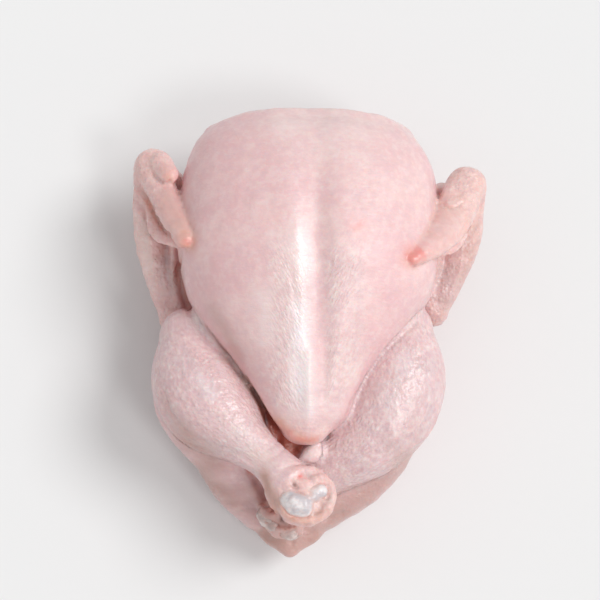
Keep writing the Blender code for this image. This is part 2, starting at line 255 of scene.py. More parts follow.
# Ridges and creases of the skin: pixels of the route, half width and height in millimetres. A crease is
# below 0.
MARKS = (
    # The breast: the thin crease and the ridge of the keel, with a dip on each side of it.
    (((289, 263), (293, 285), (299, 320)), 1.3, -0.45),
    (((311, 345), (309, 375), (309, 405), (308, 432)), 3.2, 1.1),
    (((296, 350), (296, 380), (297, 410)), 3.0, -0.5),
    (((327, 330), (325, 365), (322, 405)), 3.5, -0.9),
    (((249, 178), (245, 198), (248, 222)), 3.0, -0.35),
    (((318, 118), (320, 150), (320, 200)), 5.0, -0.4),
    # Where the breast meets the left drumstick and wing.
    (((225, 352), (234, 364), (242, 376)), 1.4, -1.6),
    (((181, 252), (180, 270), (182, 292), (192, 314)), 2.0, -3.0),
    # The fold of thin skin along the outside of each drumstick, with the crease above it.
    (((157, 388), (164, 415), (180, 437), (207, 451), (238, 460), (262, 472)), 1.8, 1.3),
    (((163, 388), (171, 412), (186, 430), (210, 443), (240, 452)), 1.3, -0.6),
    (((441, 396), (430, 430), (403, 451), (374, 465), (346, 480)), 1.8, 1.2),
    (((434, 398), (423, 425), (398, 443), (370, 457)), 1.3, -0.5),
    # Nicks between the gristle and the skin at the end of the left leg, and between the lumps of the right.
    (((291, 483), (295, 487), (300, 487)), 1.2, -2.4),
    (((302, 469), (310, 478), (313, 484)), 1.2, -0.9),
    (((286, 478), (294, 472), (303, 468)), 1.4, 0.8),
    (((270, 478), (280, 470), (294, 464), (312, 464), (326, 474)), 1.3, -0.8),
    (((281, 494), (284, 506), (292, 515), (306, 517)), 1.1, -1.0),
    (((318, 499), (321, 506), (316, 513)), 1.0, -1.0),
    (((276, 484), (280, 492), (281, 503)), 1.2, 0.6),
    (((266, 505), (272, 510), (280, 514)), 1.2, -0.9),
    (((268, 520), (279, 526), (290, 528)), 1.2, -1.0),
    (((305, 509), (307, 516)), 1.3, -2.0),
    (((276, 513), (284, 523)), 1.6, -2.0),
    # The cleft of the tail, and the folds beside it.
    (((294, 526), (293, 537), (291, 549)), 1.2, -1.0),
    (((262, 524), (258, 512), (250, 500)), 1.8, -0.9),
    (((322, 522), (333, 516), (345, 512)), 1.8, -0.9),
    # The left wing: under the thumb, and between the hand and its web.
    (((150, 171), (157, 179), (165, 184), (174, 178)), 1.2, -1.2),
    (((147, 196), (154, 212), (163, 228), (174, 238)), 1.2, -1.2),
    # The right wing.
    (((441, 203), (449, 207), (457, 206), (464, 201)), 1.1, -1.0),
    (((455, 239), (463, 229), (470, 217)), 1.1, -1.0),
    (((461, 241), (469, 232), (474, 221)), 1.0, 0.9),
    (((464, 248), (472, 238), (478, 227)), 1.0, -0.9),
    (((468, 252), (475, 243), (480, 233)), 1.0, 0.7),
    (((462, 265), (468, 256), (473, 249)), 1.2, -0.7),
    # Wrinkles round the left wrist, and the edge of its web of skin.
    (((134, 190), (141, 196), (147, 206)), 1.0, 0.8),
    (((133, 199), (140, 205), (147, 216)), 1.0, -0.8),
    (((133, 208), (139, 213), (146, 224)), 1.0, 0.8),
    (((133, 217), (138, 222), (145, 232)), 1.0, -0.7),
    (((149, 232), (152, 260), (160, 296)), 1.3, 0.8),
    (((462, 262), (454, 285), (444, 306)), 1.3, 0.8),
    # Folds of loose skin above the ankle and on the rump.
    (((258, 452), (268, 449), (278, 441)), 1.0, -0.4),
    (((263, 461), (275, 456), (287, 447)), 1.0, -0.4),
    (((196, 488), (220, 500), (246, 503)), 2.0, -0.7),
    (((228, 515), (245, 509), (262, 511)), 1.8, -0.8),
    (((350, 498), (375, 484), (400, 462)), 2.0, -0.6),
)
# Stains by kind: pixels of the route, half width in millimetres, and strength. Some kinds are painted
# highlights and painted shade, as each says.
STAINS = {
    "rose": (
        (((357, 226), (359, 228)), 3.5, 0.55),
        (((284, 428), (296, 438), (310, 441), (322, 436)), 2.6, 0.35),
        (((406, 261), (412, 257), (424, 249)), 5.0, 0.75),
        (((187, 238), (189, 245)), 3.5, 0.5),
        (((299, 475), (302, 478)), 1.8, 0.9),
        (((356, 222), (360, 230)), 6.0, 0.2),
    ),
    "amber": (
        (((272, 414), (284, 428), (296, 438), (310, 441), (322, 436)), 4.5, 0.9),
        (((284, 508), (292, 518), (304, 522), (316, 517)), 2.2, 1.0),
        (((245, 455), (262, 458), (275, 462)), 6.0, 0.3),
        (((182, 228), (188, 240), (186, 248)), 4.5, 1.0),
        (((262, 500), (270, 506), (278, 516)), 2.5, 0.8),
        (((147, 196), (154, 212), (163, 228)), 2.5, 0.8),
        (((166, 181), (172, 176)), 3.0, 0.7),
        (((408, 260), (418, 254)), 5.0, 1.0),
        (((440, 205), (452, 208)), 2.0, 0.6),
        (((262, 470), (270, 492), (288, 515)), 4.0, 1.0),
        (((280, 515), (296, 521), (312, 521), (326, 508)), 3.0, 0.6),
        (((258, 530), (290, 550), (322, 530)), 8.0, 0.5),
    ),
    # Cream: the skin's own cream tone at the neck end, on the vent fat and on the tail. Along the breast
    # valley, the keel and the left shank it is a painted highlight, and on the top of the left drumstick and
    # on the left forearm it is painted light over their shade.
    "cream_and_painted_light": (
        (((297, 225), (300, 300), (299, 400)), 6.0, 0.85),
        (((308, 350), (308, 412)), 5.0, 0.85),
        (((265, 135), (320, 125), (375, 135)), 20.0, 0.35),
        (((228, 425), (246, 444), (262, 455), (276, 458)), 7.0, 0.9),
        (((322, 492), (330, 498), (328, 506)), 3.0, 0.8),
        (((138, 205), (143, 240), (152, 285)), 5.0, 0.5),
        (((190, 318), (205, 330)), 6.0, 0.5),
        (((318, 446), (310, 452), (301, 459)), 4.0, 1.0),
        (((266, 285), (269, 315), (275, 345)), 8.0, 0.6),
        (((264, 532), (272, 541)), 6.0, 0.3),
        (((186, 322), (196, 322), (208, 332)), 5.0, 0.6),
        (((140, 225), (144, 245), (150, 275)), 5.0, 0.7),
    ),
    # Slate: grey-lilac skin on the drumsticks and at the right leg end. In the gaps between each wing and the
    # breast it is painted shade.
    "slate_and_painted_shade": (
        (((172, 350), (190, 372), (215, 402)), 9.0, 0.35),
        (((427, 345), (434, 380), (425, 410)), 7.0, 0.35),
        (((164, 252), (165, 275), (170, 300)), 7.0, 1.0),
        (((446, 262), (447, 285), (440, 306)), 9.0, 1.0),
        (((303, 470), (310, 476), (316, 482)), 2.5, 0.6),
        (((168, 408), (190, 438), (230, 452)), 6.0, 0.7),
        (((438, 400), (420, 435), (385, 458)), 5.0, 0.6),
        (((262, 508), (267, 520), (278, 530)), 4.0, 0.7),
        (((282, 524), (294, 532), (304, 527)), 4.0, 0.6),
    ),
    # Blush: pink patches of the skin on the drumsticks and the breast. Along the crease of the right
    # drumstick and on the rump under the drumsticks it is also painted shade.
    "blush_and_painted_shade": (
        (((215, 335), (235, 380), (255, 420)), 6.0, 0.4),
        (((360, 400), (345, 430), (340, 460)), 8.0, 0.3),
        (((400, 230), (390, 290), (365, 345)), 22.0, 0.3),
        (((320, 300), (318, 350), (318, 400)), 6.0, 0.3),
        (((400, 340), (374, 365), (352, 400), (342, 424)), 3.0, 0.5),
        (((215, 375), (232, 350), (250, 385), (262, 400)), 6.0, 0.4),
        (((205, 490), (240, 505), (262, 520)), 9.0, 0.5),
        (((400, 470), (370, 495), (340, 512)), 9.0, 0.5),
    ),
    "flesh": (
        (((288, 443), (295, 449), (301, 453)), 4.5, 1.0),
        # In the gap between the left wing and the breast the meat colour is painted shade.
        (((181, 255), (180, 275), (190, 312)), 2.5, 0.5),
        (((281, 494), (284, 506), (292, 515), (306, 517)), 1.0, 0.4),
        (((266, 505), (272, 510), (280, 514)), 1.2, 0.6),
        (((268, 520), (279, 526), (290, 528)), 1.2, 0.6),
    ),
    "wet": (
        (((293, 215), (298, 240), (299, 300), (299, 395)), 9.0, 1.0),
        (((300, 380), (308, 395), (308, 415)), 8.0, 1.0),
        (((275, 270), (270, 330), (285, 380)), 9.0, 0.5),
        (((350, 260), (348, 320), (335, 380)), 8.0, 0.35),
    ),
    "soaked": (
        (((293, 215), (298, 240), (299, 300), (299, 395)), 7.0, 1.0),
        (((300, 380), (308, 395), (308, 415)), 7.0, 1.0),
        (((392, 395), (405, 370), (412, 350)), 8.0, 0.8),
        (((195, 360), (222, 395), (246, 425)), 9.0, 0.8),
    ),
    # Tan: the brownish skin of the tail, the rump and the leg ends. In the gaps between the left wing and the
    # breast, in the creases beside the left drumstick and under the left hand, and on the left hand and the
    # right forearm, it is painted shade.
    "tan_and_painted_shade": (
        (((184, 232), (188, 244)), 4.0, 0.5),
        (((478, 215), (472, 250), (457, 290)), 5.0, 0.35),
        (((447, 295), (440, 318)), 6.0, 0.5),
        (((262, 470), (270, 492), (282, 512)), 3.0, 0.5),
        (((250, 525), (265, 538), (290, 546), (330, 528)), 11.0, 1.0),
        (((175, 445), (215, 490), (258, 512)), 12.0, 0.9),
        (((252, 478), (258, 492), (266, 508)), 4.0, 0.8),
        (((425, 450), (380, 485), (330, 512)), 12.0, 0.9),
        (((163, 185), (172, 205), (183, 232)), 7.0, 0.55),
        (((264, 470), (268, 490), (276, 508)), 3.0, 0.6),
        (((262, 512), (275, 522), (297, 532)), 5.0, 0.6),
        (((215, 338), (240, 372), (262, 405)), 2.5, 0.6),
        (((181, 250), (180, 275), (188, 310)), 4.0, 0.9),
        (((148, 196), (156, 214), (166, 232)), 1.5, 0.7),
        (((182, 262), (184, 290), (188, 306)), 4.0, 0.9),
        (((160, 392), (173, 420), (196, 442)), 6.0, 0.4),
        (((205, 300), (225, 330), (245, 368)), 6.0, 0.4),
        (((378, 492), (346, 510), (316, 532)), 8.0, 0.9),
        (((310, 536), (322, 528)), 7.0, 0.6),
        (((215, 355), (228, 372), (240, 392)), 4.0, 0.3),
    ),
    # Near black: painted shade in the nicks at the left leg end, in the creases between the breast and the
    # drumsticks, under the right drumstick and at the tail.
    "dark": (
        (((292, 483), (297, 488)), 1.3, 1.0),
        (((305, 509), (308, 516)), 1.3, 1.0),
        (((275, 513), (281, 518), (288, 526)), 1.6, 0.9),
        (((268, 520), (279, 526), (290, 528)), 1.2, 0.5),
        (((203, 322), (222, 347), (236, 368), (248, 386)), 1.6, 0.65),
        (((424, 318), (400, 340), (374, 365), (352, 400), (344, 420)), 1.4, 0.2),
        (((405, 466), (360, 500), (326, 528)), 8.0, 0.07),
        (((306, 540), (318, 530)), 7.0, 0.12),
    ),
    # Painted highlights: whitish streaks where the light glints along the breast valley, on the keel and on
    # both drumsticks.
    "painted_highlight": (
        (((300, 295), (300, 350), (299, 405)), 5.0, 0.75),
        (((308, 395), (309, 420)), 4.0, 0.45),
        (((196, 372), (206, 388), (216, 402)), 3.5, 0.35),
        (((212, 350), (224, 372), (236, 398)), 3.0, 0.3),
        (((398, 352), (406, 362), (402, 378)), 5.0, 0.5),
        (((384, 388), (394, 400), (386, 412)), 5.0, 0.3),
    ),
}


# Forms


def through(knots, values, at):
    """A smooth curve through values at knots, read at the places in at."""
    knots, values = np.asarray(knots, float), np.asarray(values, float)
    if knots[0] > knots[-1]:
        knots, values = knots[::-1], values[::-1]
    slopes = np.gradient(values, knots, axis=0)
    at = np.clip(at, knots[0], knots[-1])
    i = np.clip(np.searchsorted(knots, at) - 1, 0, len(knots) - 2)
    step = knots[i + 1] - knots[i]
    t = (at - knots[i]) / step
    if values.ndim > 1:
        t, step = t[:, None], step[:, None]
    return (
        (2 * t**3 - 3 * t**2 + 1) * values[i]
        + (t**3 - 2 * t**2 + t) * step * slopes[i]
        + (3 * t**2 - 2 * t**3) * values[i + 1]
        + (t**3 - t**2) * step * slopes[i + 1]
    )


def rings_to_mesh(name, rings):
    """A closed skin over rings of points, each ring turning the same way, with a face at both ends."""
    bm = bmesh.new()
    loops = [[bm.verts.new(Vector(p) * MM) for p in ring] for ring in rings]
    for low, high in zip(loops, loops[1:]):
        for i in range(len(low)):
            j = (i + 1) % len(low)
            bm.faces.new((low[i], low[j], high[j], high[i]))
    for loop in (loops[0], loops[-1]):
        bm.faces.new(loop)
    bmesh.ops.recalc_face_normals(bm, faces=bm.faces)
    mesh = bpy.data.meshes.new(name)
    bm.to_mesh(mesh)
    bm.free()
    return mesh


def along_with_caps(length, cap_start, cap_end, count):
    """Places along a form with round ends, and how much of its full girth each place has."""
    turn = np.linspace(0.08, math.pi / 2, 9)
    start = [(-cap_start * math.cos(a), math.sin(a)) for a in turn]
    end = [(length + cap_end * math.cos(a), math.sin(a)) for a in turn[::-1]]
    middle = [(s, 1.0) for s in np.linspace(0, length, count)[1:-1]]
    return np.array(start + middle + end).T


def trunk_form(name, stations, caps, power, valley=None, around=96):
    """A form along Y, its rings rounder or squarer by power, with the valley of the breast if given."""
    table = np.array(stations, float)
    front, back = table[0, 0], table[-1, 0]
    places, girth = along_with_caps(front - back, caps[0], caps[1], 70)
    y = front - places
    centre, half, low, wide, high = through(table[:, 0], table[:, 1:], y).T
    angles = np.linspace(0, 2 * math.pi, around, endpoint=False)
    side, rise = np.cos(angles), np.sin(angles)
    side = np.sign(side) * np.abs(side) ** (2 / power)
    rise = np.sign(rise) * np.abs(rise) ** (2 / power)
    rings = []
    for k in range(len(y)):
        x = centre[k] + half[k] * girth[k] * side
        reach = np.where(rise > 0, high[k] - wide[k], wide[k] - low[k])
        z = wide[k] + reach * girth[k] * rise
        if valley is not None:
            z -= valley_depth(valley, x, y[k]) * np.clip(rise, 0, 1)
        bend = FRONT_BEND * np.clip(1 - (front - y[k]) / FRONT_REACH, 0, 1)
        rings.append(np.stack([x, y[k] - bend * (girth[k] * side) ** 2, z], 1))
    return rings_to_mesh(name, rings)


def valley_depth(valley, x, y):
    """How deep the valley between the breast muscles is at x on the ring at y."""
    table = np.array(valley, float)
    middle, depth, half = through(table[:, 0], table[:, 1:], np.array([y]))[0]
    return max(depth, 0) * np.exp(-(((x - middle) / half) ** 2))


def frames(forward):
    """For each step forward, the level direction across it and the one over both."""
    forward = forward / np.linalg.norm(forward, axis=1)[:, None]
    across = np.cross(forward, (0, 0, 1))
    across /= np.linalg.norm(across, axis=1)[:, None]
    return across, np.cross(across, forward)


def limb_form(name, route, girths, around=40):
    """A limb with round ends on a smooth curve through route."""
    route, table = np.array(route, float), np.array(girths, float)
    steps = np.diff(route, axis=0)
    lengths = np.linalg.norm(steps, axis=1)
    length = float(lengths.sum())
    knots = np.concatenate([[0], np.cumsum(lengths)])
    places, girth = along_with_caps(length, table[0, 1], table[-1, 1], 40)
    wide, thick = through(table[:, 0], table[:, 1:], places / length).T
    centre = through(knots, route, places)
    centre += np.outer(np.minimum(places, 0), steps[0] / lengths[0])
    centre += np.outer(np.maximum(places - length, 0), steps[-1] / lengths[-1])
    across, over = frames(np.gradient(centre, axis=0))
    angles = np.linspace(0, 2 * math.pi, around, endpoint=False)
    rings = [
        centre[k]
        + np.outer(np.cos(angles) * wide[k] * girth[k], across[k])
        + np.outer(np.sin(angles) * thick[k] * girth[k], over[k])
        for k in range(len(places))
    ]
    return rings_to_mesh(name, rings)


def between(a, b, share):
    return tuple(np.array(a, float) * (1 - share) + np.array(b, float) * share)


def moved(point, x=0, y=0, z=0):
    return (point[0] + x, point[1] + y, point[2] + z)


def leg_forms(side):
    """Thigh and drumstick, folded on each other at the knee."""
    hip, knee = HIP[side], KNEE[side]
    thigh_middle = moved(between(hip, knee, 0.5), x=THIGH_BULGE[side])
    return [
        limb_form("thigh", (hip, thigh_middle, knee), THIGH),
        limb_form("drumstick", (knee, *SHANK[side]), DRUMSTICK[side]),
    ]


def wing_forms(side, sign):
    """The folded wing: upper arm, forearm, hand and thumb, with the skin that spans the bends."""
    shoulder, elbow, wrist = SHOULDER[side], ELBOW[side], WRIST[side]
    forearm_middle = moved(between(elbow, wrist, 0.5), x=sign * FOREARM_BOW, y=4, z=1.5)
    web_start, web_end = between(shoulder, wrist, WEB_START), moved(elbow, y=6)
    return [
        limb_form("upper_arm", (shoulder, elbow), UPPER_ARM),
        limb_form("forearm", (elbow, forearm_middle, wrist), FOREARM),
        limb_form("arm_web", (web_start, web_end), ARM_WEB),
        limb_form("hand", HAND_ROUTE[side], HAND[side]),
        limb_form("hand_web", HAND_WEB_ROUTE[side], HAND_WEB),
        limb_form("thumb", THUMB_ROUTE[side], THUMB),
    ]


def hollow_form():
    table = np.array(HOLLOW, float)
    rings = [(y, x, half, z - tall, z, z + tall) for y, x, z, half, tall in table[::-1]]
    return trunk_form("hollow", rings, (18, 4), 2.0, around=64)


# Fusing


def object_of(name, data):
    obj = bpy.data.objects.new(name, data)
    bpy.context.scene.collection.objects.link(obj)
    return obj


def evaluated_mesh(obj):
    """The object's mesh with its modifiers applied. The object itself is removed."""
    graph = bpy.context.evaluated_depsgraph_get()
    mesh = bpy.data.meshes.new_from_object(obj.evaluated_get(graph))
    bpy.data.objects.remove(obj)
    return mesh


def fuse(name, meshes, softening, voxel=SKIN_VOXEL):
    """One skin round all the meshes, its creases softened."""
    bm = bmesh.new()
    for mesh in meshes:
        bm.from_mesh(mesh)
    joined = bpy.data.meshes.new(name)
    bm.to_mesh(joined)
    bm.free()
    obj = object_of(name, joined)
    remesh = obj.modifiers.new("fuse", "REMESH")
    remesh.mode = "VOXEL"
    remesh.voxel_size = voxel * MM
    smooth = obj.modifiers.new("soften", "SMOOTH")
    smooth.iterations = softening
    return evaluated_mesh(obj)


def cut(mesh, cutter_mesh):
    obj, cutter = object_of("cut", mesh), object_of("cutter", cutter_mesh)
    boolean = obj.modifiers.new("cut", "BOOLEAN")
    boolean.operation = "DIFFERENCE"
    boolean.object = cutter
    result = evaluated_mesh(obj)
    bpy.data.objects.remove(cutter)
    return result


def fused_bird():
    trunk = fuse(
        "trunk",
        [
            trunk_form("torso", TORSO, TRUNK_CAPS, TORSO_POWER),
            trunk_form("breast", BREAST, TRUNK_CAPS, BREAST_POWER, BREAST_VALLEY),
            limb_form("neck_skin", NECK_SKIN_ROUTE, NECK_SKIN),
        ],
        TRUNK_SOFTENING,
    )
    trunk = cut(trunk, hollow_form())
    legs = [fuse("leg", leg_forms(side), LEG_SOFTENING) for side in SIDES]
    tail = fuse("tail", [limb_form(*given) for given in TAIL], TAIL_SOFTENING)
    with_legs = fuse("with_legs", [trunk, tail, *legs, *tubes(FLESH)], BODY_SOFTENING)
    with_legs = cut(with_legs, limb_form(*SLIT))
    added = wing_forms("left", -1) + wing_forms("right", 1) + tubes(LEG_END_SKIN) + [limb_form(*INNER_FOLD)]
    return fuse("whole", [with_legs, *added], WING_SOFTENING)


def tubes(table):
    return [limb_form(name, route, ((0, girth, girth), (1, girth, girth))) for name, route, girth in table]


def gristle_mesh(side, bird, corner):
    """The gristle at the end of one leg. Its stain seam shows how near the skin is."""
    mesh = fuse("gristle", tubes(GRISTLE[side]), GRISTLE_SOFTENING, GRISTLE_VOXEL)
    gristle = Skin(mesh)
    gristle.corner = corner
    gristle.push(GRISTLE_LOOKS[side][3] * waves(gristle.places, 8, 8, octaves=2))
    tree = BVHTree.FromPolygons(*polygons_of(bird.data))
    distance = np.array([tree.find_nearest(place)[3] for place in gristle.places - corner])
    gristle.stain("seam", smooth_step(2.0, 0.2, distance))
    return gristle.finished()


# Places on the skin


def camera_matrix():
    """Where the photograph's camera stands and how it is turned."""
    back = Vector((0, -math.cos(CAMERA_ELEVATION), math.sin(CAMERA_ELEVATION)))
    turn = back.to_track_quat("Z", "Y").to_matrix().to_4x4()
    return Matrix.Translation(Vector(CAMERA_TARGET) + back * CAMERA_DISTANCE) @ turn


def smooth_step(low, high, value):
    t = np.clip((value - low) / (high - low), 0, 1)
    return t * t * (3 - 2 * t)


def to_route(points, route):
    """Each point's distance from a route of straight steps, and how far along the route it lies."""
    nearest = np.full(len(points), np.inf)
    along = np.zeros(len(points))
    start = 0.0
    for a, b in zip(route, route[1:]):
        step = b - a
        length = np.linalg.norm(step)
        share = np.clip((points - a) @ step / length**2, 0, 1)
        distance = np.linalg.norm(points - a - share[:, None] * step, axis=1)
        closer = distance < nearest
        nearest = np.where(closer, distance, nearest)
        along = np.where(closer, start + share * length, along)
        start += length
    return nearest, along / start


def waves(points, size, seed, octaves=3):
    """Soft lumps about size across, from -1 to 1: sums of waves that run in many directions."""
    random = np.random.default_rng(seed)
    total = np.zeros(len(points))
    weights = 0.0
    for octave in range(octaves):
        weight = 0.55**octave
        for _ in range(7):
            direction = random.normal(size=3)
            direction *= 2 * math.pi * 2**octave / (size * 2 * np.linalg.norm(direction))
            bend = random.uniform(0, 2 * math.pi)
            total += weight * np.sin(points @ direction + bend + np.sin(points @ direction[::-1]))
            weights += weight * 0.5
    return np.clip(total / weights, -1, 1)


class Skin:
    """The points of the fused bird, in millimetres, which marks push in, pull out and colour."""

    def __init__(self, mesh):
        self.mesh = mesh
        places = np.empty(len(mesh.vertices) * 3, np.float32)
        mesh.vertices.foreach_get("co", places)
        self.places = places.reshape(-1, 3).astype(float) / MM
        self.corner = (self.places.min(axis=0) + self.places.max(axis=0)) / 2 * (1, 1, 0)
        self.tree = BVHTree.FromPolygons(
            [tuple(p) for p in self.places], [tuple(face.vertices) for face in mesh.polygons]
        )
        self.faces = self.triangles()
        self.normals = self.directions()
        self.start_normals = self.normals.copy()
        self.stains = {}

    def triangles(self):
        self.mesh.calc_loop_triangles()
        corners = np.empty(len(self.mesh.loop_triangles) * 3, np.int32)
        self.mesh.loop_triangles.foreach_get("vertices", corners)
        return corners.reshape(-1, 3)

    def directions(self):
        """Which way the skin faces at each point."""
        a, b, c = (self.places[self.faces[:, i]] for i in range(3))
        facing = np.cross(b - a, c - a)
        total = np.zeros_like(self.places)
        for i in range(3):
            np.add.at(total, self.faces[:, i], facing)
        return total / np.maximum(np.linalg.norm(total, axis=1), 1e-9)[:, None]

    def at_pixel(self, px, py):
        """The point of the skin that the photograph shows at that pixel."""
        per_pixel = CAMERA_SENSOR / PHOTO_SIDE / CAMERA_LENS
        across = (px - PHOTO_SIDE / 2 + CAMERA_SHIFT[0] * PHOTO_SIDE) * per_pixel
        up = (PHOTO_SIDE / 2 - py + CAMERA_SHIFT[1] * PHOTO_SIDE) * per_pixel
        camera = camera_matrix()
        eye = camera.translation / MM + Vector(self.corner)
        way = (camera.to_3x3() @ Vector((across, up, -1))).normalized()
        hit = self.tree.ray_cast(eye, way)[0]
        if hit is None:
            hit = self.tree.find_nearest(eye + way * (CAMERA_DISTANCE / MM - 20))[0]
        return np.array(hit)

    def route(self, pixels):
        """A smooth route on the skin through pixels of the photograph."""
        knots = np.arange(len(pixels))
        dense = np.linspace(0, len(pixels) - 1, 8 * len(pixels))
        return np.array([self.at_pixel(*p) for p in through(knots, np.array(pixels, float), dense)])

    def near(self, pixels, width):
        """How near each point is to a route through pixels: 1 on it, and falling off over width."""
        distance, along = to_route(self.places, self.route(pixels))
        taper = np.minimum(smooth_step(0, 0.15, along), smooth_step(1, 0.85, along))
        return np.exp(-((distance / width) ** 2)) * (0.25 + 0.75 * taper)

    def from_form(self, mesh):
        """How far each point of the skin lies from a form's surface, up to REACH."""
        points, faces = polygons_of(mesh)
        tree = BVHTree.FromPolygons(points, faces)
        corners = np.array(points)
        low, high = corners.min(axis=0) - REACH, corners.max(axis=0) + REACH
        distance = np.full(len(self.places), REACH)
        for i in np.flatnonzero(((self.places > low) & (self.places < high)).all(axis=1)):
            found = tree.find_nearest(self.places[i], REACH)[3]
            distance[i] = REACH if found is None else found
        return distance

    def push(self, amount):
        self.places += self.normals * amount[:, None]

    def stain(self, name, amount):
        """Adds to a named stain, which the skin's material reads. It stays between 0 and 1."""
        before = self.stains.get(name, 0)
        self.stains[name] = 1 - (1 - before) * (1 - np.clip(amount, 0, 1))

    def finished(self):
        """The mesh with its points in place and its stains as attributes."""
        self.places -= self.corner
        self.mesh.vertices.foreach_set("co", (self.places * MM).astype(np.float32).ravel())
        for name, amount in self.stains.items():
            layer = self.mesh.attributes.new(name, "FLOAT", "POINT")
            layer.data.foreach_set("value", np.asarray(amount, np.float32))
        self.mesh.update()
        self.mesh.shade_smooth()
        return self.mesh


# Shaders


class Value:
    """A socket of a shader. The usual operators on it add the nodes for the sum."""

    def __init__(self, shader, socket):
        self.shader = shader
        self.socket = socket

    def math(self, operation, first, second):
        return self.shader.node("ShaderNodeMath", {"operation": operation}, {0: first, 1: second})

    def __add__(self, other):
        return self.math("ADD", self, other)

    def __sub__(self, other):
        return self.math("SUBTRACT", self, other)

    def __rsub__(self, other):
        return self.math("SUBTRACT", other, self)

    def __mul__(self, other):
        return self.math("MULTIPLY", self, other)

    __radd__ = __add__
    __rmul__ = __mul__

    def stretched(self, low, high, to_low=0.0, to_high=1.0):
        """The value where low gives to_low and high gives to_high, clipped, with soft ends."""
        settings = {"interpolation_type": "SMOOTHSTEP"}
        places = {0: self, 1: low, 2: high, 3: to_low, 4: to_high}
        return self.shader.node("ShaderNodeMapRange", settings, places)


class Shader:
    """One material, made of nodes."""

    def __init__(self, name):
        self.material = bpy.data.materials.new(name)
        self.material.use_nodes = True
        self.nodes = self.material.node_tree.nodes
        self.links = self.material.node_tree.links
        self.surface = self.nodes["Principled BSDF"]

    def node(self, kind, settings=None, inputs=None, output=0):
        made = self.nodes.new(kind)
        for name, setting in (settings or {}).items():
            setattr(made, name, setting)
        self.fill(made, inputs or {})
        return Value(self, made.outputs[output])

    def fill(self, made, inputs):
        for name, given in inputs.items():
            if isinstance(given, Value):
                self.links.new(given.socket, made.inputs[name])
            else:
                made.inputs[name].default_value = given

    def mix(self, first, second, share):
        """A colour between two colours."""
        given = {0: share, 6: self.colour(first), 7: self.colour(second)}
        return self.node("ShaderNodeMix", {"data_type": "RGBA"}, given, output=2)

    def layered(self, colour, layers):
        """The colour with others laid over it in turn, each with how much of it shows."""
        for laid, share in layers:
            colour = self.mix(colour, laid, share)
        return colour

    def colour(self, given):
        return given if isinstance(given, Value) else (*given, 1)

    def stain(self, name):
        settings = {"attribute_name": name, "attribute_type": "GEOMETRY"}
        return self.node("ShaderNodeAttribute", settings, output="Fac")

    def place(self):
        return self.node("ShaderNodeTexCoord", output="Object")

    def scaled(self, vector, scale):
        return self.node("ShaderNodeVectorMath", {"operation": "MULTIPLY"}, {0: vector, 1: scale})

    def noise(self, vector, scale, detail=3.0, roughness=0.55):
        given = {"Vector": vector, "Scale": scale, "Detail": detail, "Roughness": roughness}
        return self.node("ShaderNodeTexNoise", inputs=given)

    def cells(self, vector, scale, randomness=1.0, feature="F1"):
        given = {"Vector": vector, "Scale": scale, "Randomness": randomness}
        return self.node("ShaderNodeTexVoronoi", {"feature": feature}, given)

    def bump(self, height, distance, strength=1.0):
        given = {"Height": height, "Distance": distance, "Strength": strength}
        return self.node("ShaderNodeBump", inputs=given)

    def finish(self, **inputs):
        self.fill(self.surface, {name.replace("_", " "): given for name, given in inputs.items()})
        return self.material


